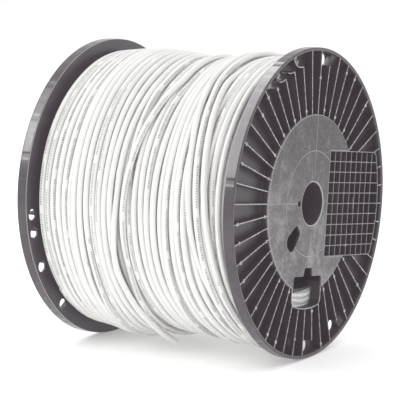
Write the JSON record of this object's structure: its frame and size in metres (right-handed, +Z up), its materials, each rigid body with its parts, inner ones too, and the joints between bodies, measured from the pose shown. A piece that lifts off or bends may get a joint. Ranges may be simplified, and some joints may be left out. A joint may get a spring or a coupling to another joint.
{
  "type": "reel of network cable",
  "caption": "Moulded plastic cable reel with ribbed flanges on a hollow barrel, wound full with round white network cable, its outer end loose.",
  "frame": {"origin": "on the floor, below the middle of the reel's axis", "axes": "+X along the reel's axis, out of the flange whose lattice and window face the viewer; +Z up, with the reel standing on its two rims"},
  "size_m": [0.305, 0.3796, 0.3796],
  "materials": {
    "flange_plastic": "dark grey moulded plastic with a soft sheen, flow marks and ejector marks",
    "barrel_plastic": "dark grey extruded or moulded plastic, plain",
    "cable_jacket": "smooth white PVC or low smoke jacket with faint grey running marks"
  },
  "bodies": {
    "root": {"near_flange": "flange_plastic", "far_flange": "flange_plastic", "barrel": "barrel_plastic", "wound_cable": "cable_jacket", "cable_outer_end": "cable_jacket"}
  },
  "joints": []
}
